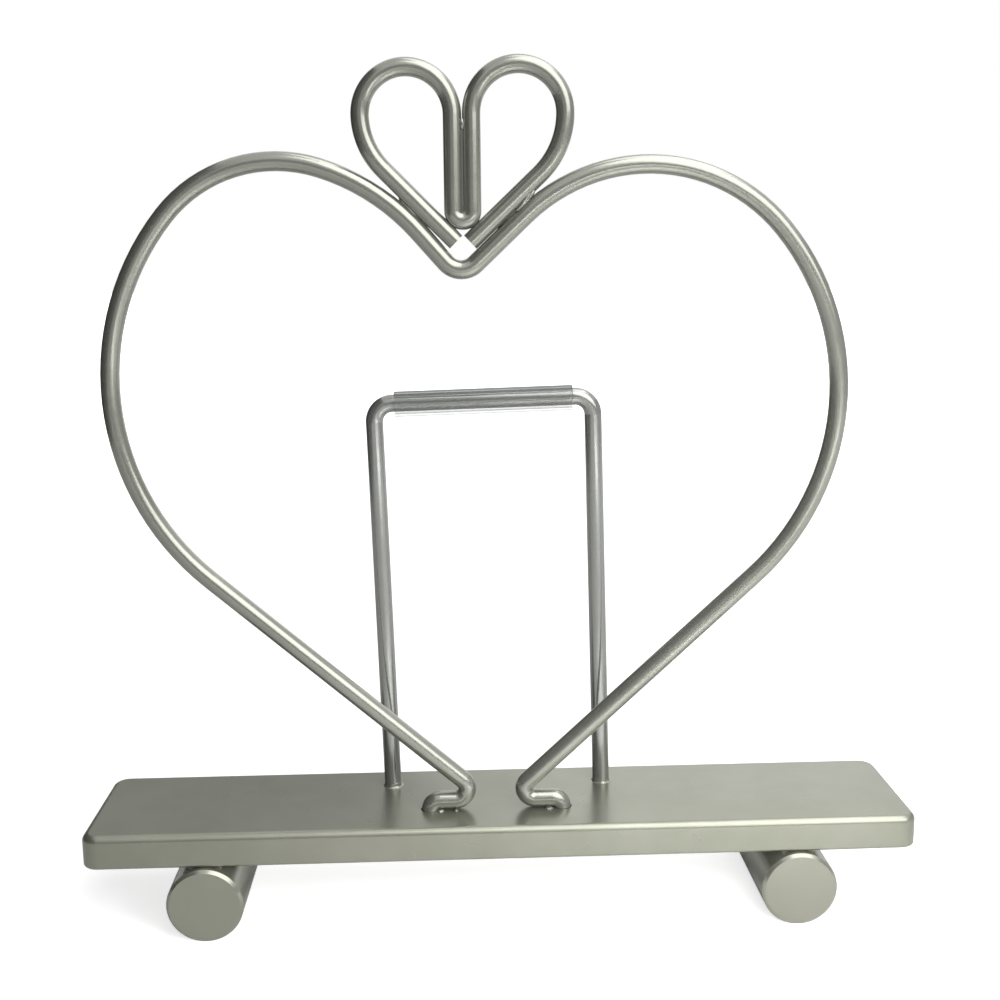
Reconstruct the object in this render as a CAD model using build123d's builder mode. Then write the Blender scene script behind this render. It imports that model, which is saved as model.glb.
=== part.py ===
"""Heart shaped photo frame: painted steel wires standing on a pressed steel base with two round bar feet.

Sizes are in millimetres and angles in degrees. X runs along the base, Y from the front to the back and Z up.
The origin is under the middle of the base, on the surface that the feet stand on.
"""
from build123d import *
from math import cos, radians, sin
import os

# Feet: round bars that lie from front to back under the base, set in from its ends
foot_diameter = 18.4
foot_inset = 29.2
foot_overhang = 1.75
foot_bevel = 0.7

# Base: a shallow pan of steel sheet, open underneath, whose skirt stands on the feet
base_width = 202.0
base_depth = 37.8
skirt_height = 8.1
sheet_thickness = 1.2
base_corner_radius = 4.0
base_top_edge_radius = 1.7
base_bottom_edge_radius = 0.7
wire_hole_clearance = 0.2

# Wires, and the length of every wire end that shows under the sheet
heart_wire_diameter = 4.4
crown_wire_diameter = 4.2
support_wire_diameter = 4.3
wire_tail = 2.5

# Heart: set in from the base's front. cusp_x is its sideways place, cusp_height is over the base's top.
heart_inset = 12.25
cusp_x = -8.15
cusp_height = 131.7
cusp_radius = 4.7
left_shoulder_angle = 48.4
left_shoulder_length = 9.5
left_rise_radius = 49.2
left_rise_turn_angle = 31.0
left_crest_radius = 33.2
left_crest_turn_angle = 67.2
left_flank_radius = 60.8
left_flank_angle = 41.2
right_shoulder_angle = 43.3
right_shoulder_length = 15.8
right_rise_radius = 41.4
right_rise_turn_angle = 31.0
right_crest_radius = 41.4
right_crest_turn_angle = 61.7
right_flank_radius = 59.6
right_flank_angle = 42.9

# Hooks that the heart's two ends make just over the base before they drop through it
left_hook_radius = 2.9
left_hook_run = 3.9
right_hook_radius = 2.6
right_hook_run = 4.4
hook_end_radius = 2.4
hook_gap = 0.1

# Crown: the small heart, whose two legs lie on the rises of the big one's halves.
# crown_pinch_rise is the height of its middle's lower bend over the cusp.
crown_x = -7.65
crown_pinch_rise = 13.2
crown_pinch_gap = 0.12
crown_weld_gap = 0.05
crown_end_gap = 0.3
left_leg_angle = 45.0
left_outer_radius = 17.2
left_outer_turn_angle = 43.4
left_lobe_radius = 10.36
right_leg_angle = 43.2
right_outer_radius = 18.5
right_outer_turn_angle = 47.0
right_lobe_radius = 10.64

# Rear support: a hoop set in from the base's back, which leans a little to the left
support_x = -0.5
support_inset = 10.05
support_leg_spacing = 54.0
support_height = 100.0
support_corner_radius = 4.5
support_lean_angle = 1.45

# Clear sleeve that hangs loose on the hoop's bar
sleeve_diameter = 6.3
sleeve_bore = 5.0
sleeve_length = 43.8
sleeve_rub_gap = 0.05

# Weld beads. The ring welds taper into the wires by an overlap, and the crown's beads lie behind the wires
# by a share of the wire's radius.
wire_weld_leg = 1.4
wire_weld_overlap = 0.3
crown_bead_radius = 1.1
crown_bead_length = 7.0
crown_bead_setback_share = 0.64
foot_weld_leg = 2.2
foot_weld_length = 8.0

base_bottom = foot_diameter
base_top = base_bottom + skirt_height
sheet_underside = base_top - sheet_thickness
foot_reach = base_width / 2 - foot_inset
heart_y = heart_inset - base_depth / 2
support_y = base_depth / 2 - support_inset
heart_plane = Plane.XZ.offset(-heart_y)
wire_touch = (heart_wire_diameter + crown_wire_diameter) / 2 + crown_weld_gap
pinch_radius = (crown_wire_diameter + crown_pinch_gap) / 2


def heading(angle):
    """Unit direction in the heart's plane, counted from +X towards +Z."""
    return Vector(cos(radians(angle)), 0, sin(radians(angle)))


def run_on(edge, length):
    """Straight line that goes on from the end of an edge."""
    return Line(edge @ 1, edge @ 1 + length * (edge % 1))


def heart_half(
    side, shoulder_angle, shoulder_length, rise_radius, rise_turn_angle, crest_radius, crest_turn_angle,
    flank_radius, flank_angle, hook_radius, hook_run,
):
    """Draws half of the heart from its cusp to the wire's end and returns its rise. Side is -1 or 1."""
    cusp_start = (cusp_x, base_top + cusp_height)
    cusp = JernArc(cusp_start, heading(0) * side, cusp_radius, side * shoulder_angle)
    shoulder = run_on(cusp, shoulder_length)
    rise = JernArc(shoulder @ 1, shoulder % 1, rise_radius, -side * rise_turn_angle)
    crest = JernArc(rise @ 1, rise % 1, crest_radius, -side * crest_turn_angle)
    flank_turn_angle = 180 - flank_angle + shoulder_angle - rise_turn_angle - crest_turn_angle
    flank = JernArc(crest @ 1, crest % 1, flank_radius, -side * flank_turn_angle)
    run_height = hook_gap + heart_wire_diameter / 2
    hook_top = base_top + run_height + hook_radius * (1 + cos(radians(flank_angle)))
    slant = run_on(flank, ((flank @ 1).Z - hook_top) / sin(radians(flank_angle)))
    hook = JernArc(slant @ 1, slant % 1, hook_radius, side * (180 - flank_angle))
    run = run_on(hook, hook_run)
    bend = JernArc(run @ 1, run % 1, hook_end_radius, -side * 90)
    run_on(bend, run_height - hook_end_radius + sheet_thickness + wire_tail)
    return rise


def rise_contact(side, rise, leg_angle):
    """Centre-line points of the heart and of the crown's leg where the leg lies on the rise."""
    outward = heading(90 + side * leg_angle)
    on_heart = rise.arc_center + rise.radius * outward
    return on_heart, on_heart + wire_touch * outward


def crown_half(side, contact, leg_angle, outer_radius, outer_turn_angle, lobe_radius):
    """Draws half of the crown, from its free end, over its lobe and down the middle to the pinch."""
    along_leg = heading(90 - side * (90 - leg_angle))
    contact_reach = side * (contact.X - crown_x)
    end_reach = crown_end_gap / 2 + crown_wire_diameter / 2 * sin(radians(leg_angle))
    lobe_heading_angle = leg_angle + outer_turn_angle
    outer_reach = outer_radius * (sin(radians(lobe_heading_angle)) - sin(radians(leg_angle)))
    lobe_reach = lobe_radius * (1 + sin(radians(lobe_heading_angle)))
    arc_reach = pinch_radius + lobe_reach - outer_reach
    leg_start = contact - along_leg * ((contact_reach - end_reach) / cos(radians(leg_angle)))
    leg_end = contact + along_leg * ((arc_reach - contact_reach) / cos(radians(leg_angle)))
    leg = Line(leg_start, leg_end)
    outer = JernArc(leg @ 1, leg % 1, outer_radius, side * outer_turn_angle)
    lobe = JernArc(outer @ 1, outer % 1, lobe_radius, side * (270 - lobe_heading_angle))
    middle = run_on(lobe, (lobe @ 1).Z - base_top - cusp_height - crown_pinch_rise)
    JernArc(middle @ 1, middle % 1, pinch_radius, -side * 90)


def bend_wire(path, diameter):
    """Sweeps a round wire along a path."""
    with BuildSketch(Plane(path @ 0, z_dir=path % 0)) as section:
        Circle(diameter / 2)
    sweep(section.sketch, path)


def save(node, name):
    """Labels a finished piece and writes it."""
    node.part.label = name
    export_step(node.part, f"parts/{name}.step")


os.makedirs("parts", exist_ok=True)

with BuildPart() as heart_wire:
    with BuildLine(heart_plane) as heart_line:
        left_rise = heart_half(
            -1, left_shoulder_angle, left_shoulder_length, left_rise_radius, left_rise_turn_angle,
            left_crest_radius, left_crest_turn_angle, left_flank_radius, left_flank_angle,
            left_hook_radius, left_hook_run,
        )
        right_rise = heart_half(
            1, right_shoulder_angle, right_shoulder_length, right_rise_radius, right_rise_turn_angle,
            right_crest_radius, right_crest_turn_angle, right_flank_radius, right_flank_angle,
            right_hook_radius, right_hook_run,
        )
    heart_path = heart_line.wire()
    bend_wire(heart_path, heart_wire_diameter)
save(heart_wire, "heart_wire")

left_contact = rise_contact(-1, left_rise, left_leg_angle)
right_contact = rise_contact(1, right_rise, right_leg_angle)

with BuildPart() as crown_wire:
    with BuildLine(heart_plane) as crown_line:
        crown_half(
            -1, left_contact[1], left_leg_angle, left_outer_radius, left_outer_turn_angle,
            left_lobe_radius,
        )
        crown_half(
            1, right_contact[1], right_leg_angle, right_outer_radius, right_outer_turn_angle,
            right_lobe_radius,
        )
    bend_wire(crown_line.wire(), crown_wire_diameter)
save(crown_wire, "crown_wire")

# The beads fill the groove behind the two wires, where the legs lie on the rises
crown_bead_setback = crown_bead_setback_share * heart_wire_diameter / 2
with BuildPart() as crown_welds:
    for side, contact, leg_angle in ((-1, left_contact, left_leg_angle), (1, right_contact, right_leg_angle)):
        groove = (contact[0] + contact[1]) / 2 + Vector(0, crown_bead_setback, 0)
        with BuildSketch(Plane(groove, z_dir=heading(90 - side * (90 - leg_angle)))):
            Circle(crown_bead_radius)
        extrude(amount=crown_bead_length / 2, both=True)
    add(heart_wire.part, mode=Mode.SUBTRACT)
    add(crown_wire.part, mode=Mode.SUBTRACT)
save(crown_welds, "crown_welds")

support_plane = Plane(
    (support_x, support_y, base_top), x_dir=heading(support_lean_angle), z_dir=heart_plane.z_dir
)
with BuildPart() as rear_support:
    with BuildLine(support_plane) as support_line:
        support_foot = -sheet_thickness - wire_tail
        FilletPolyline(
            (-support_leg_spacing / 2, support_foot),
            (-support_leg_spacing / 2, support_height),
            (support_leg_spacing / 2, support_height),
            (support_leg_spacing / 2, support_foot),
            radius=support_corner_radius,
        )
    bend_wire(support_line.wire(), support_wire_diameter)
save(rear_support, "rear_support")

# The sleeve hangs on the bar, so its axis is lower than the bar's
sleeve_drop = (sleeve_bore - support_wire_diameter) / 2 - sleeve_rub_gap
sleeve_centre = support_plane.from_local_coords((0, support_height - sleeve_drop, 0))
with BuildPart() as support_sleeve:
    with BuildSketch(Plane(sleeve_centre, z_dir=heading(support_lean_angle))):
        Circle(sleeve_diameter / 2)
        Circle(sleeve_bore / 2, mode=Mode.SUBTRACT)
    extrude(amount=sleeve_length / 2, both=True)
save(support_sleeve, "support_sleeve")

heart_ends = [(heart_path @ place).X for place in (0, 1)]
support_ends = [
    support_plane.from_local_coords((side * support_leg_spacing / 2, 0, 0)).X for side in (-1, 1)
]

with BuildPart() as base_tray:
    with BuildSketch(Plane.XY.offset(base_bottom)):
        RectangleRounded(base_width, base_depth, base_corner_radius)
    extrude(amount=skirt_height)
    fillet(base_tray.faces().sort_by(Axis.Z)[-1].edges(), base_top_edge_radius)
    offset(amount=-sheet_thickness, openings=base_tray.faces().sort_by(Axis.Z)[0])
    fillet(base_tray.faces().sort_by(Axis.Z)[0].outer_wire().edges(), base_bottom_edge_radius)
    with BuildSketch(Plane.XY.offset(base_top)):
        with Locations([(x, heart_y) for x in heart_ends]):
            Circle(heart_wire_diameter / 2 + wire_hole_clearance)
        with Locations([(x, support_y) for x in support_ends]):
            Circle(support_wire_diameter / 2 + wire_hole_clearance)
    extrude(amount=-sheet_thickness, mode=Mode.SUBTRACT)
save(base_tray, "base_tray")

for name, wire, diameter, ends, y in (
    ("heart_wire_welds", heart_wire, heart_wire_diameter, heart_ends, heart_y),
    ("rear_support_welds", rear_support, support_wire_diameter, support_ends, support_y),
):
    with BuildPart() as wire_welds:
        with Locations([(x, y, sheet_underside) for x in ends]):
            Cone(
                diameter / 2 + wire_weld_leg, diameter / 2 - wire_weld_overlap, wire_weld_leg,
                rotation=(180, 0, 0), align=(Align.CENTER, Align.CENTER, Align.MIN),
            )
        add(wire.part, mode=Mode.SUBTRACT)
    save(wire_welds, name)

inner_skirt = base_depth / 2 - sheet_thickness
for name, weld_name, side in (("left_foot", "left_foot_welds", -1), ("right_foot", "right_foot_welds", 1)):
    with BuildPart() as foot:
        with BuildSketch(Plane.XZ):
            with Locations((side * foot_reach, foot_diameter / 2)):
                Circle(foot_diameter / 2)
        extrude(amount=base_depth / 2 + foot_overhang, both=True)
        chamfer(foot.edges().filter_by(GeomType.CIRCLE), foot_bevel)
    save(foot, name)

    with BuildPart() as foot_welds:
        with BuildSketch(Plane.YZ.offset(side * foot_reach)):
            for end in (-1, 1):
                with BuildLine():
                    Polyline(
                        (end * inner_skirt, base_bottom + foot_weld_leg),
                        (end * (inner_skirt - foot_weld_leg), base_bottom),
                        (end * (inner_skirt - foot_weld_leg), foot_diameter / 2),
                        (end * inner_skirt, foot_diameter / 2),
                        close=True,
                    )
                make_face()
        extrude(amount=foot_weld_length / 2, both=True)
        add(foot.part, mode=Mode.SUBTRACT)
    save(foot_welds, weld_name)
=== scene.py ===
"""Heart shaped photo frame: finishes, small added pieces, floor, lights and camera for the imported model.

Lengths are in metres and angles in degrees. X runs along the base, Y from the front to the back and Z up.
Colours are linear. A range is the lowest and the highest value of an effect, or of what drives it.
"""
import math

import bmesh
import bpy
from mathutils import Matrix, Vector, noise


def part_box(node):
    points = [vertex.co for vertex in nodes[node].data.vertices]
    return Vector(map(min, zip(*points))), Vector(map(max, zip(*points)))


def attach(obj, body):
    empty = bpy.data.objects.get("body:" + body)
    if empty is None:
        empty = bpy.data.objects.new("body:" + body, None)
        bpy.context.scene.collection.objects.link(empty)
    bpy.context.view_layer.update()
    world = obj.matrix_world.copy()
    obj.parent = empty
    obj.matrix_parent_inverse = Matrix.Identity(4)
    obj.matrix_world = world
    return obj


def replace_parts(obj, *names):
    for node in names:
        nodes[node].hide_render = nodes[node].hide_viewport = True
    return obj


# Camera, solved from the photograph. Its lens and sensor are in millimetres.
CAMERA_PLACE = (-0.01222, -0.31209, 0.16136)
CAMERA_YAW_ANGLE = 2.332
CAMERA_PITCH_ANGLE = 10.596
CAMERA_ROLL_ANGLE = 0.522
CAMERA_LENS = 47.065
CAMERA_SENSOR = 36.0
CAMERA_CLIP = 0.01

# Colours
PAINT_LIGHT = (0.295, 0.300, 0.248, 1.0)
PAINT_DARK = (0.262, 0.268, 0.218, 1.0)
WIRE_LIGHT = (0.295, 0.300, 0.262, 1.0)
WIRE_DARK = (0.262, 0.268, 0.232, 1.0)
HOOP_LIGHT = (0.292, 0.298, 0.285, 1.0)
HOOP_DARK = (0.262, 0.268, 0.250, 1.0)
PAINT_BARE = (0.42, 0.42, 0.37, 1.0)
VINYL_LIGHT = (0.19, 0.2, 0.195, 1.0)
VINYL_DARK = (0.14, 0.15, 0.145, 1.0)
FLOOR_GREY = (0.68, 0.68, 0.675, 1.0)
FLOOR_GRAIN = (0.71, 0.71, 0.705, 1.0)
WHITE = (1.0, 1.0, 1.0, 1.0)

# Sockets of a node that mixes colours. Its other kinds of mix share their names.
MIX_FACTOR = 0
MIX_FIRST = 6
MIX_SECOND = 7
MIX_RESULT = 2

# Noises: waves per metre, detail and roughness
MOTTLE_NOISE = (55.0, 3.0, 0.55)
PAINT_MARK_NOISE = (500.0, 2.0, 0.5)
PEEL_NOISE = (350.0, 1.0, 0.4)
VINYL_MARK_NOISE = (900.0, 2.0, 0.5)
HAZE_NOISE = (120.0, 2.0, 0.5)
FLOOR_NOISE = (90.0, 3.0, 0.6)

# From nothing to all
FULL_RANGE = (0.0, 1.0)

# Paint
WIRE_ROUGHNESS = 0.23
HOOP_ROUGHNESS = 0.17
BASE_ROUGHNESS = 0.29
FOOT_ROUGHNESS = 0.25
BEAD_ROUGHNESS = 0.25
ROUGHNESS_SPREAD = 0.02
METAL_SHARE = 0.75
COAT_SHARE = 0.5
BASE_COAT_SHARE = 0.12
FOOT_COAT_SHARE = 0.3
COAT_ROUGHNESS = 0.06
COAT_IOR = 1.5
EVEN_STRETCH = (1.0, 1.0, 1.0)
BASE_STRETCH = (0.5, 0.5, 0.5)
FOOT_STRETCH = (1.0, 0.1, 1.0)
MOTTLE_RANGE = (0.3, 0.7)
PAINT_MARK_RANGE = (0.25, 0.75)
SCRATCH_RANGE = (0.66, 0.76)
SCRATCH_SHARE = 0.12
FLAKES_PER_METRE = 3800.0
SPARKLE_SHARE = 0.06
BASE_FLAKE_SHARE = 0.15
FLAKE_STRENGTH = 0.02
FLAKE_DEPTH = 0.00001
BASE_PEEL_SHARE = 0.05
BEAD_PEEL_SHARE = 2.5
PEEL_STRENGTH = 0.12
PEEL_DEPTH = 0.00004

# Vinyl. Its wall hides a share of what is behind it, most where it is seen edge on.
# Painted shade and marks scale that share: the wall hides more of what is behind it towards the tube's top,
# so the top is painted darker.
VINYL_STRETCH = (0.02, 1.0, 1.0)
VINYL_IOR = 1.5
VINYL_SPECULAR_SHARE = 0.1
VINYL_ROUGHNESS_RANGE = (0.1, 0.2)
VINYL_MARK_RANGE = (0.3, 0.7)
VINYL_MARK_SHARES = (0.93, 1.07)
VINYL_MARK_STRENGTH = 0.04
VINYL_MARK_DEPTH = 0.00003
EDGE_BLEND = 0.5
EDGE_RANGE = (0.1, 0.9)
EDGE_SHARES = (0.08, 0.8)
TOP_SHADE_REACH = 0.0025
TOP_SHADE_SHARES = (0.6, 1.5)

# Sides and directions. The hoop leans to the left.
LEFT = -1
RIGHT = 1
STRAIGHT = Matrix.Identity(3)
HOOP_LEAN_ANGLE = 1.45
HOOP_UP = Vector((-math.sin(math.radians(HOOP_LEAN_ANGLE)), 0.0, math.cos(math.radians(HOOP_LEAN_ANGLE))))

# Beads and drops of paint and weld
BEAD_SUBDIVISIONS = 4
BEAD_WAVES = 1.7
BEAD_SWELL_SHARE = 0.15
COLLAR_SEGMENTS = 64
COLLAR_STEPS = 8
COLLAR_SWELL_SHARE = 0.35
COLLAR_WIDTH = 0.0006
COLLAR_HEIGHT = 0.0011
COLLAR_SINK = 0.0001
# Each drop's side of the heart, its shift along the base from the wire's hole, and half of its length
HOOK_DROPS = ((LEFT, 0.0026, 0.0009), (LEFT, 0.0063, 0.0006), (RIGHT, -0.0033, 0.0011))
DROP_FORWARD = 0.0014
DROP_DEPTH = 0.0009
DROP_HEIGHT = 0.0005
BEAD_FORWARD_SHARE = 0.5
# Half sizes of a bead are across its groove, in depth and along it
FRONT_BEAD = (0.0007, 0.0006, 0.0030)
FRONT_BEAD_RISE = 0.0022
FRONT_BEAD_SEED = 0.0
PINCH_BEAD = (0.00045, 0.0005, 0.0012)
PINCH_BEAD_SEED = 7.0
# Middle of the crown's pinch, and the height where its two sides part
PINCH_X = -0.0076
PINCH_Z = 0.1905
GROOVE_END_SHARE = 0.25
SEAM_STEPS = 24
SEAM_WAVES = 12
SEAM_SEGMENTS = 16
SEAM_RADIUS = 0.0005
SEAM_END_RADIUS = 0.0009
SEAM_TIP_SHARE = 0.4
SEAM_BACK = 0.0055
SEAM_REACH = 0.018
SEAM_DROP = 0.0006
WELD_STEPS = 72
WELD_RIPPLES = 6
WELD_RIPPLE_SHARE = 0.12

# Floor and world. The floor's lift towards white grows over this range of distances from the origin, so that
# the floor near the object stays darker: painted shade round the object.
FLOOR_REACH = 6.0
FLOOR_SEGMENTS = 8
FLOOR_LIFT_RANGE = (0.12, 1.2)
FLOOR_CAMERA_LIFT = 0.75
WORLD_LEVEL = 0.1

# Lamps: directions from the object's middle as azimuth and elevation, widths and heights, and watts
CENTRE = Vector((0.0, 0.0, 0.1))
KEY_ANGLES = (36, 42)
KEY_DISTANCE = 0.72
KEY_SIZE = (0.6, 0.85)
KEY_POWER = 4.85
TOP_PLACE = (0.22, 0.05, 0.75)
TOP_TARGET = (0.12, 0.0, 0.0)
TOP_SIZE = (0.4, 0.5)
TOP_POWER = 1.5
BACK_ANGLES = (158, 27)
BACK_DISTANCE = 0.8
BACK_SIZE = (0.5, 0.45)
BACK_POWER = 0.25
SIDE_PLACE = (0.08, -0.17, 0.1)
SIDE_TARGET = (0.05, 0.0, 0.01)
SIDE_SIZE = (0.1, 0.1)
SIDE_POWER = 0.48

# Room that only reflections show, which paints reflections: its glowing walls, which paint dark and grey
# reflections, a bright glowing strip on the table that paints a highlight streak on the wires, and how
# strongly each glows
ROOM_LEFT = -0.5
ROOM_RIGHT = 0.9
ROOM_FRONT = -1.0
ROOM_BACK = 0.9
BACK_WALL_END = -0.05
WALL_HEIGHT = 0.6
LEFT_WALL_HEIGHT = 0.95
LEFT_WALL_GLOW = 0.06
FRONT_WALL_GLOW = 0.35
RIGHT_WALL_GLOW = 0.45
BACK_WALL_GLOW = 0.4
GLOW_STRIP_START_ANGLE = 10
GLOW_STRIP_END_ANGLE = 44
GLOW_STRIP_NEAR = 0.68
GLOW_STRIP_FAR = 0.87
GLOW_STRIP_RISE = 0.002
GLOW_STRIP_GLOW = 6.0

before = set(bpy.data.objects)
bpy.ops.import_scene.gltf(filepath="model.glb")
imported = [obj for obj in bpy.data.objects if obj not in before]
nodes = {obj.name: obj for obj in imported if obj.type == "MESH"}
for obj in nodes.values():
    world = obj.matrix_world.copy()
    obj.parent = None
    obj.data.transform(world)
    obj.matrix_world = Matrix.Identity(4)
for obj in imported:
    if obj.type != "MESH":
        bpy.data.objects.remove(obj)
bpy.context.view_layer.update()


# Node helpers

def new_material(name):
    """Material with an empty node tree and its output."""
    material = bpy.data.materials.new(name)
    material.use_nodes = True
    material.node_tree.nodes.clear()
    output = material.node_tree.nodes.new("ShaderNodeOutputMaterial")
    return material, material.node_tree, output


def add_node(tree, kind, values=None, **settings):
    """New node with its settings and the values of its sockets."""
    made = tree.nodes.new(kind)
    for key, value in settings.items():
        setattr(made, key, value)
    for key, value in (values or {}).items():
        made.inputs[key].default_value = value
    return made


def feed(tree, socket, value):
    """Links an input to another socket, or sets it to a constant."""
    if isinstance(value, bpy.types.NodeSocket):
        tree.links.new(value, socket)
    else:
        socket.default_value = value


def calculate(tree, operation, *values):
    """Result of an operation on values, each a socket or a constant."""
    made = add_node(tree, "ShaderNodeMath", operation=operation)
    for socket, value in zip(made.inputs, values):
        feed(tree, socket, value)
    return made.outputs[0]


def ramp(tree, source, source_range, result_range):
    """Maps a value from one range to another."""
    low, high = source_range
    low_result, high_result = result_range
    made = add_node(
        tree, "ShaderNodeMapRange",
        {"From Min": low, "From Max": high, "To Min": low_result, "To Max": high_result},
    )
    tree.links.new(source, made.inputs["Value"])
    return made.outputs["Result"]


def mix_colour(tree, factor, first, second):
    """Mixes two colours, each a constant or a socket."""
    made = add_node(tree, "ShaderNodeMix", data_type="RGBA")
    tree.links.new(factor, made.inputs[MIX_FACTOR])
    feed(tree, made.inputs[MIX_FIRST], first)
    feed(tree, made.inputs[MIX_SECOND], second)
    return made.outputs[MIX_RESULT]


def object_place(tree):
    """Place on the object, in metres."""
    return add_node(tree, "ShaderNodeTexCoord").outputs["Object"]


def stretch_place(tree, place, stretch):
    """Place scaled along each axis. A small scale draws a noise out along its axis."""
    made = add_node(tree, "ShaderNodeMapping", {"Scale": stretch})
    tree.links.new(place, made.inputs["Vector"])
    return made.outputs["Vector"]


def noise_value(tree, place, scale, detail, roughness):
    """Noise at a scale, given in waves per metre."""
    made = add_node(tree, "ShaderNodeTexNoise", {"Scale": scale, "Detail": detail, "Roughness": roughness})
    tree.links.new(place, made.inputs["Vector"])
    return made.outputs["Fac"]


def bump(tree, height, strength, depth, below=None):
    """Normal of a relief, laid over the one below where that is given."""
    made = add_node(tree, "ShaderNodeBump", {"Strength": strength, "Distance": depth})
    tree.links.new(height, made.inputs["Height"])
    if below is not None:
        tree.links.new(below, made.inputs["Normal"])
    return made.outputs["Normal"]


def seen_directly(tree):
    """1 for rays from the camera and through or off a shiny surface, so that these show the backdrop."""
    path = add_node(tree, "ShaderNodeLightPath")
    total = path.outputs["Is Camera Ray"]
    for name in ("Is Glossy Ray", "Is Transmission Ray"):
        total = calculate(tree, "MAXIMUM", total, path.outputs[name])
    return total


# Materials

def paint(
    name, roughness, light=PAINT_LIGHT, dark=PAINT_DARK, stretch=EVEN_STRETCH,
    coat=COAT_SHARE, peel=1.0, flake=1.0,
):
    """Satin nickel paint: mottled colour, flakes, fine marks and a thin clear skin with some orange peel."""
    material, tree, output = new_material(name)
    links = tree.links
    place = object_place(tree)

    mottle = noise_value(tree, place, *MOTTLE_NOISE)
    tint = mix_colour(tree, ramp(tree, mottle, MOTTLE_RANGE, FULL_RANGE), dark, light)

    flakes = add_node(tree, "ShaderNodeTexVoronoi", {"Scale": FLAKES_PER_METRE})
    links.new(place, flakes.inputs["Vector"])
    flake_value = add_node(tree, "ShaderNodeSeparateColor")
    links.new(flakes.outputs["Color"], flake_value.inputs["Color"])
    sparkle = ramp(tree, flake_value.outputs["Red"], FULL_RANGE, (0.0, SPARKLE_SHARE * flake))
    tint = mix_colour(tree, sparkle, tint, PAINT_BARE)

    marks = noise_value(tree, stretch_place(tree, place, stretch), *PAINT_MARK_NOISE)
    scratches = ramp(tree, marks, SCRATCH_RANGE, (0.0, SCRATCH_SHARE * flake))
    tint = mix_colour(tree, scratches, tint, PAINT_BARE)

    shader = add_node(tree, "ShaderNodeBsdfPrincipled", {
        "Metallic": METAL_SHARE,
        "Coat Weight": coat,
        "Coat Roughness": COAT_ROUGHNESS,
        "Coat IOR": COAT_IOR,
    })
    links.new(tint, shader.inputs["Base Color"])
    roughness_range = (roughness - ROUGHNESS_SPREAD, roughness + ROUGHNESS_SPREAD)
    links.new(ramp(tree, marks, PAINT_MARK_RANGE, roughness_range), shader.inputs["Roughness"])

    skin = bump(tree, noise_value(tree, place, *PEEL_NOISE), PEEL_STRENGTH * peel, PEEL_DEPTH)
    relief = bump(tree, flake_value.outputs["Green"], FLAKE_STRENGTH * flake, FLAKE_DEPTH, below=skin)
    links.new(relief, shader.inputs["Normal"])
    links.new(shader.outputs["BSDF"], output.inputs["Surface"])
    return material


def vinyl(name, node):
    """Clear soft vinyl for a tube that leans with the hoop, with fine marks along it and painted shade on
    its top.
    """
    material, tree, output = new_material(name)
    links = tree.links
    place = object_place(tree)
    marks = noise_value(tree, stretch_place(tree, place, VINYL_STRETCH), *VINYL_MARK_NOISE)
    haze = noise_value(tree, place, *HAZE_NOISE)
    shader = add_node(tree, "ShaderNodeBsdfPrincipled", {
        "IOR": VINYL_IOR,
        "Specular IOR Level": VINYL_SPECULAR_SHARE,
    })
    links.new(mix_colour(tree, haze, VINYL_DARK, VINYL_LIGHT), shader.inputs["Base Color"])
    links.new(ramp(tree, marks, VINYL_MARK_RANGE, VINYL_ROUGHNESS_RANGE), shader.inputs["Roughness"])

    edge = add_node(tree, "ShaderNodeLayerWeight", {"Blend": EDGE_BLEND}).outputs["Facing"]
    cover = ramp(tree, edge, EDGE_RANGE, EDGE_SHARES)
    # Painted shade: the wall covers more towards the top of the tube, which darkens its top.
    height = add_node(tree, "ShaderNodeVectorMath", {1: HOOP_UP}, operation="DOT_PRODUCT")
    links.new(place, height.inputs[0])
    low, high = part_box(node)
    middle = HOOP_UP.dot((low + high) / 2)
    top_shade = ramp(tree, height.outputs["Value"], (middle - TOP_SHADE_REACH, middle + TOP_SHADE_REACH), TOP_SHADE_SHARES)
    for share in (top_shade, ramp(tree, marks, VINYL_MARK_RANGE, VINYL_MARK_SHARES)):
        cover = calculate(tree, "MULTIPLY", cover, share)
    links.new(cover, shader.inputs["Alpha"])

    links.new(bump(tree, marks, VINYL_MARK_STRENGTH, VINYL_MARK_DEPTH), shader.inputs["Normal"])
    links.new(shader.outputs["BSDF"], output.inputs["Surface"])
    return material


def floor_material(name):
    """Pale floor with a very faint grain, lifted towards white where it is looked at, less near the origin:
    painted shade round the object.
    """
    material, tree, output = new_material(name)
    links = tree.links
    place = object_place(tree)
    diffuse = add_node(tree, "ShaderNodeBsdfDiffuse")
    grain = noise_value(tree, place, *FLOOR_NOISE)
    links.new(mix_colour(tree, grain, FLOOR_GREY, FLOOR_GRAIN), diffuse.inputs["Color"])

    # Painted shade round the object: the lift grows with distance from the origin, so the floor near the
    # object stays darker, most in reflections.
    reach = add_node(tree, "ShaderNodeVectorMath", operation="LENGTH")
    links.new(place, reach.inputs[0])
    growth = ramp(tree, reach.outputs["Value"], FLOOR_LIFT_RANGE, FULL_RANGE)
    far_lift = calculate(tree, "MULTIPLY", seen_directly(tree), growth)
    camera_ray = add_node(tree, "ShaderNodeLightPath").outputs["Is Camera Ray"]
    strength = calculate(tree, "MULTIPLY_ADD", camera_ray, FLOOR_CAMERA_LIFT, far_lift)
    lift = add_node(tree, "ShaderNodeEmission", {"Color": WHITE})
    links.new(strength, lift.inputs["Strength"])

    both = add_node(tree, "ShaderNodeAddShader")
    links.new(diffuse.outputs[0], both.inputs[0])
    links.new(lift.outputs[0], both.inputs[1])
    links.new(both.outputs[0], output.inputs["Surface"])
    return material


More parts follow.
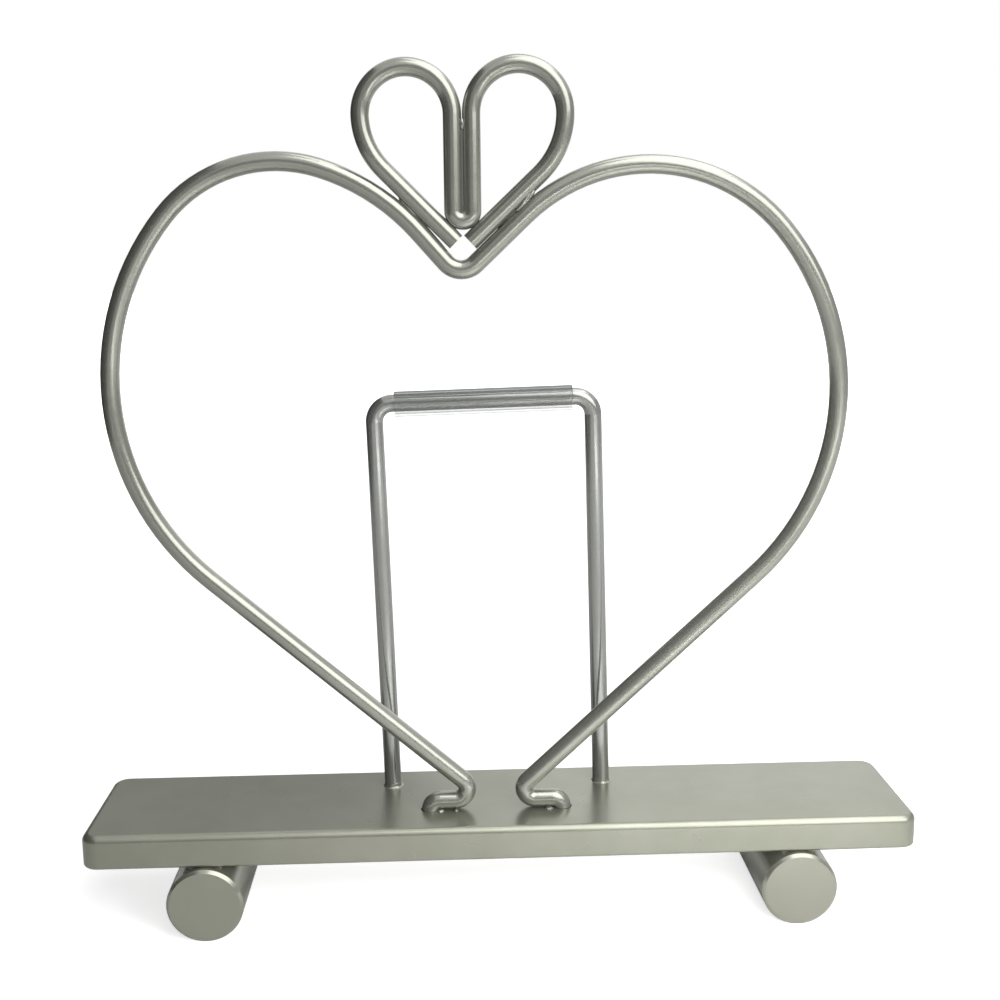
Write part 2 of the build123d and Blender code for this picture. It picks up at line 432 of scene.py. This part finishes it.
def glow_material(name, level):
    """Even white glow."""
    material, tree, output = new_material(name)
    glow = add_node(tree, "ShaderNodeEmission", {"Color": WHITE, "Strength": level})
    tree.links.new(glow.outputs[0], output.inputs["Surface"])
    return material


# Mesh helpers

def new_object(name, data):
    """Links a mesh, lamp or camera into the scene."""
    made = bpy.data.objects.new(name, data)
    bpy.context.scene.collection.objects.link(made)
    return made


def mesh_object(name, build, material):
    """Smooth object from a function that fills a bmesh."""
    work = bmesh.new()
    build(work)
    bmesh.ops.recalc_face_normals(work, faces=work.faces)
    mesh = bpy.data.meshes.new(name)
    work.to_mesh(mesh)
    work.free()
    for face in mesh.polygons:
        face.use_smooth = True
    mesh.materials.append(material)
    return new_object(name, mesh)


def circle(count):
    """Unit vectors at even steps round the Z axis."""
    angles = [2 * math.pi * index / count for index in range(count)]
    return [Vector((math.cos(angle), math.sin(angle), 0.0)) for angle in angles]


def turn_to(axis):
    """Turn that lays the Z axis along a unit vector."""
    return Vector((0.0, 0.0, 1.0)).rotation_difference(axis).to_matrix()


def bands(work, rows):
    """Faces between each row of points and the next. A row is a closed loop."""
    for first, second in zip(rows, rows[1:]):
        for here, after in zip(range(len(first)), [*range(1, len(first)), 0]):
            work.faces.new((first[here], first[after], second[after], second[here]))


def uneven(swell_share, point, seed):
    """Factor near 1 that changes slowly over a unit ball."""
    return 1.0 + swell_share * noise.noise(point * BEAD_WAVES + Vector((seed, 0.0, 0.0)))


# Finishes

wire_paint = paint("wire_paint", WIRE_ROUGHNESS, light=WIRE_LIGHT, dark=WIRE_DARK)
hoop_paint = paint("hoop_paint", HOOP_ROUGHNESS, light=HOOP_LIGHT, dark=HOOP_DARK)
base_paint = paint(
    "base_paint", BASE_ROUGHNESS, stretch=BASE_STRETCH,
    coat=BASE_COAT_SHARE, peel=BASE_PEEL_SHARE, flake=BASE_FLAKE_SHARE,
)
foot_paint = paint("foot_paint", FOOT_ROUGHNESS, stretch=FOOT_STRETCH, coat=FOOT_COAT_SHARE)
bead_paint = paint("bead_paint", BEAD_ROUGHNESS, light=WIRE_LIGHT, dark=WIRE_DARK, peel=BEAD_PEEL_SHARE)
finishes = {
    "heart_wire": wire_paint,
    "crown_wire": wire_paint,
    "rear_support": hoop_paint,
    "base_tray": base_paint,
    "left_foot": foot_paint,
    "right_foot": foot_paint,
    "crown_welds": bead_paint,
    "heart_wire_welds": bead_paint,
    "rear_support_welds": bead_paint,
    "left_foot_welds": bead_paint,
    "right_foot_welds": bead_paint,
    "support_sleeve": vinyl("clear_vinyl", "support_sleeve"),
}
for node_name, finish in finishes.items():
    nodes[node_name].material_slots[0].material = finish


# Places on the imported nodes

def radius_of(node):
    """Half of a node's depth: the radius of a wire that is bent in a plane, or of a pair of welds."""
    low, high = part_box(node)
    return (high.y - low.y) / 2


def middle_y(node):
    """Y of a node's middle."""
    low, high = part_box(node)
    return (high.y + low.y) / 2


sheet_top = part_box("base_tray")[1].z
heart_radius = radius_of("heart_wire")
heart_y = middle_y("heart_wire")
hoop_radius = radius_of("rear_support")
crown_radius = radius_of("crown_wire")
pinch_low = min(
    vert.co.z for vert in nodes["crown_wire"].data.vertices
    if abs(vert.co.x - PINCH_X) < crown_radius / 2
)


def wire_ends(node):
    """Where the two wires in a node's pair of ring welds meet the sheet's top, by side."""
    low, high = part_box(node)
    radius = radius_of(node)
    places = {LEFT: low.x + radius, RIGHT: high.x - radius}
    return {side: Vector((x, middle_y(node), sheet_top)) for side, x in places.items()}


def crown_groove(side):
    """Lower and upper end of a weld's groove between the crown's leg and the heart, in the heart's plane."""
    points = [vert.co for vert in nodes["crown_welds"].data.vertices if side * (vert.co.x - PINCH_X) > 0]
    points.sort(key=lambda point: point.z)
    count = round(GROOVE_END_SHARE * len(points))
    middles = [sum(ends, Vector()) / count for ends in (points[:count], points[-count:])]
    return [Vector((middle.x, heart_y, middle.z)) for middle in middles]


# Small pieces of paint and weld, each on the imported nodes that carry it

def lump(work, centre, radii, seed, turn=STRAIGHT):
    """Uneven bead: a ball stretched along three axes, with a rough skin."""
    for vert in bmesh.ops.create_icosphere(work, subdivisions=BEAD_SUBDIVISIONS, radius=1.0)["verts"]:
        swell = uneven(BEAD_SWELL_SHARE, vert.co, seed)
        shape = Vector([part * radius * swell for part, radius in zip(vert.co, radii)])
        vert.co = centre + turn @ shape


def collar(work, centre, seed):
    """Ring of paint that climbs a leg of the hoop from the sheet in a hollow curve."""
    turn = turn_to(HOOP_UP)
    rows = []
    for out in circle(COLLAR_SEGMENTS):
        swell = uneven(COLLAR_SWELL_SHARE, out, seed)
        width = COLLAR_WIDTH * swell
        height = COLLAR_HEIGHT * swell
        outline = [(hoop_radius - COLLAR_SINK, -COLLAR_SINK), (hoop_radius + width, -COLLAR_SINK)]
        for step in range(COLLAR_STEPS + 1):
            share = step / COLLAR_STEPS
            outline.append((hoop_radius + width * (1 - share) ** 2, height * share ** 2))
        outline.append((hoop_radius - COLLAR_SINK, height))
        rows.append([
            work.verts.new(centre + turn @ (out * reach + Vector((0.0, 0.0, rise))))
            for reach, rise in outline
        ])
    bands(work, rows + rows[:1])


def seam(work, start, end, start_radius, end_radius, steps=SEAM_STEPS, ripple_share=0.0):
    """Thread of paint or weld in the groove between two wires, with a rough or a rippled skin."""
    axis = end - start
    turn = turn_to(axis.normalized())
    outs = circle(SEAM_SEGMENTS)
    rows = []
    for step in range(steps + 1):
        share = step / steps
        radius = start_radius + (end_radius - start_radius) * share
        radius *= 1.0 + BEAD_SWELL_SHARE * noise.noise(Vector((share * SEAM_WAVES, 0.0, radius)))
        radius *= 1.0 - ripple_share * math.cos(math.pi * WELD_RIPPLES * share) ** 2
        if step in (0, steps):
            radius *= SEAM_TIP_SHARE
        rows.append([work.verts.new(start + axis * share + turn @ (out * radius)) for out in outs])
    bands(work, rows)
    work.faces.new(rows[0])
    work.faces.new(rows[-1])


def build_collars(work):
    """Paint round both legs of the hoop."""
    for seed, foot in enumerate(wire_ends("rear_support_welds").values()):
        collar(work, foot, seed)


def build_hook_drops(work):
    """Drops of paint under the heart's hooks."""
    ends = wire_ends("heart_wire_welds")
    for seed, (side, shift, length) in enumerate(HOOK_DROPS):
        centre = ends[side] + Vector((shift, -DROP_FORWARD, 0.0))
        lump(work, centre, (length, DROP_DEPTH, DROP_HEIGHT), seed)


def build_front_bead(work):
    """Bead of weld on the front of the right groove."""
    low, high = crown_groove(RIGHT)
    along = (high - low).normalized()
    centre = (low + high) / 2 + FRONT_BEAD_RISE * along
    centre.y = heart_y - BEAD_FORWARD_SHARE * heart_radius
    lump(work, centre, FRONT_BEAD, FRONT_BEAD_SEED, turn_to(along))


def build_pinch_bead(work):
    """Drop of paint where the crown's wire is pinched."""
    centre = Vector((PINCH_X, heart_y - BEAD_FORWARD_SHARE * crown_radius, PINCH_Z))
    lump(work, centre, PINCH_BEAD, PINCH_BEAD_SEED)


def build_seams(work):
    """Paint in the crown's pinch and under its legs, thicker where the wires part."""
    low = Vector((PINCH_X, heart_y, pinch_low + 2 * crown_radius))
    high = Vector((PINCH_X, heart_y, PINCH_Z))
    seam(work, low, high, SEAM_RADIUS, SEAM_RADIUS)
    for side in (LEFT, RIGHT):
        low, high = crown_groove(side)
        along = (low - high).normalized()
        start = (low + high) / 2 - along * SEAM_BACK
        end = start + along * SEAM_REACH
        end.z -= SEAM_DROP
        seam(work, start, end, SEAM_RADIUS, SEAM_END_RADIUS)


def build_weld_beads(work):
    """Rippled welds behind the crown's legs."""
    radius = radius_of("crown_welds")
    behind = Vector((0.0, middle_y("crown_welds") - heart_y, 0.0))
    for side in (LEFT, RIGHT):
        low, high = crown_groove(side)
        seam(work, low + behind, high + behind, radius, radius, WELD_STEPS, WELD_RIPPLE_SHARE)


def add_paint_piece(name, build):
    """Piece of the frame's own paint or weld."""
    made = mesh_object(name, build, bead_paint)
    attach(made, "frame")
    return made


add_paint_piece("hoop_collars", build_collars)
add_paint_piece("hook_drops", build_hook_drops)
add_paint_piece("crown_front_beads", build_front_bead)
add_paint_piece("pinch_bead", build_pinch_bead)
add_paint_piece("crown_seams", build_seams)
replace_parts(add_paint_piece("crown_weld_beads", build_weld_beads), "crown_welds")


# Floor

def build_floor(work):
    """Flat square round the origin."""
    bmesh.ops.create_grid(work, x_segments=FLOOR_SEGMENTS, y_segments=FLOOR_SEGMENTS, size=FLOOR_REACH)


floor = mesh_object("studio_floor", build_floor, floor_material("floor_pale"))

# World: white where it is looked at, a plain grey level as light
world = bpy.data.worlds.new("studio")
bpy.context.scene.world = world
world.use_nodes = True
world_tree = world.node_tree
world_tree.nodes.clear()
world_output = world_tree.nodes.new("ShaderNodeOutputWorld")
background = add_node(world_tree, "ShaderNodeBackground", {"Color": WHITE})
world_level = ramp(world_tree, seen_directly(world_tree), FULL_RANGE, (WORLD_LEVEL, 1.0))
world_tree.links.new(world_level, background.inputs["Strength"])
world_tree.links.new(background.outputs[0], world_output.inputs["Surface"])


# Lamps

def heading(azimuth):
    """X and Y of a direction over the table. Azimuth 0 is in front and 90 on the right."""
    turn = math.radians(azimuth)
    return math.sin(turn), -math.cos(turn)


def from_centre(azimuth, elevation, distance):
    """Point seen from the object's middle."""
    x, y = heading(azimuth)
    rise = math.radians(elevation)
    return CENTRE + distance * Vector((x * math.cos(rise), y * math.cos(rise), math.sin(rise)))


def area_lamp(name, place, target, size, power, in_reflections=True):
    """Soft rectangular lamp that faces a point and isn't seen itself."""
    data = bpy.data.lights.new(name, "AREA")
    data.shape = "RECTANGLE"
    data.size, data.size_y = size
    data.energy = power
    lamp = new_object(name, data)
    lamp.location = place
    lamp.rotation_euler = (Vector(target) - Vector(place)).to_track_quat("-Z", "Y").to_euler()
    lamp.visible_camera = False
    lamp.visible_glossy = in_reflections


area_lamp("lamp_key", from_centre(*KEY_ANGLES, KEY_DISTANCE), CENTRE, KEY_SIZE, KEY_POWER)
area_lamp("lamp_top", TOP_PLACE, TOP_TARGET, TOP_SIZE, TOP_POWER)
area_lamp("lamp_back", from_centre(*BACK_ANGLES, BACK_DISTANCE), CENTRE, BACK_SIZE, BACK_POWER)
area_lamp("lamp_side", SIDE_PLACE, SIDE_TARGET, SIDE_SIZE, SIDE_POWER, in_reflections=False)


# Room

def panel(name, corners, level):
    """Flat panel that glows evenly and is seen only in the object's reflections."""
    def build(work):
        work.faces.new([work.verts.new(corner) for corner in corners])

    made = mesh_object(name, build, glow_material(name + "_glow", level))
    made.visible_camera = False
    made.visible_diffuse = False
    made.visible_shadow = False
    made.visible_transmission = False


def wall(name, start, end, height, level):
    """Upright wall of the room between two points on the floor."""
    panel(name, [(*start, 0), (*end, 0), (*end, height), (*start, height)], level)


def glow_strip_point(azimuth, reach):
    """Point just over the table."""
    x, y = heading(azimuth)
    return (reach * x, reach * y, GLOW_STRIP_RISE)


wall("wall_left", (ROOM_LEFT, ROOM_BACK), (ROOM_LEFT, ROOM_FRONT), LEFT_WALL_HEIGHT, LEFT_WALL_GLOW)
wall("wall_front", (ROOM_LEFT, ROOM_FRONT), (ROOM_RIGHT, ROOM_FRONT), WALL_HEIGHT, FRONT_WALL_GLOW)
wall("wall_right", (ROOM_RIGHT, ROOM_FRONT), (ROOM_RIGHT, ROOM_BACK), WALL_HEIGHT, RIGHT_WALL_GLOW)
wall("wall_back_left", (ROOM_LEFT, ROOM_BACK), (BACK_WALL_END, ROOM_BACK), WALL_HEIGHT, BACK_WALL_GLOW)
# Glowing strip just over the table, seen only in reflections: a painted highlight streak on the wires.
glow_strip_corners = (
    (GLOW_STRIP_START_ANGLE, GLOW_STRIP_NEAR), (GLOW_STRIP_END_ANGLE, GLOW_STRIP_NEAR),
    (GLOW_STRIP_END_ANGLE, GLOW_STRIP_FAR), (GLOW_STRIP_START_ANGLE, GLOW_STRIP_FAR),
)
panel("glow_strip_front", [glow_strip_point(*corner) for corner in glow_strip_corners], GLOW_STRIP_GLOW)

# Camera
camera_data = bpy.data.cameras.new("camera")
camera_data.lens = CAMERA_LENS
camera_data.sensor_width = CAMERA_SENSOR
camera_data.sensor_fit = "HORIZONTAL"
camera_data.clip_start = CAMERA_CLIP
camera = new_object("camera", camera_data)
camera.matrix_world = (
    Matrix.Translation(CAMERA_PLACE)
    @ Matrix.Rotation(-math.radians(CAMERA_YAW_ANGLE), 4, "Z")
    @ Matrix.Rotation(math.radians(90 - CAMERA_PITCH_ANGLE), 4, "X")
    @ Matrix.Rotation(-math.radians(CAMERA_ROLL_ANGLE), 4, "Z")
)
bpy.context.scene.camera = camera
bpy.context.scene.view_settings.view_transform = "Standard"
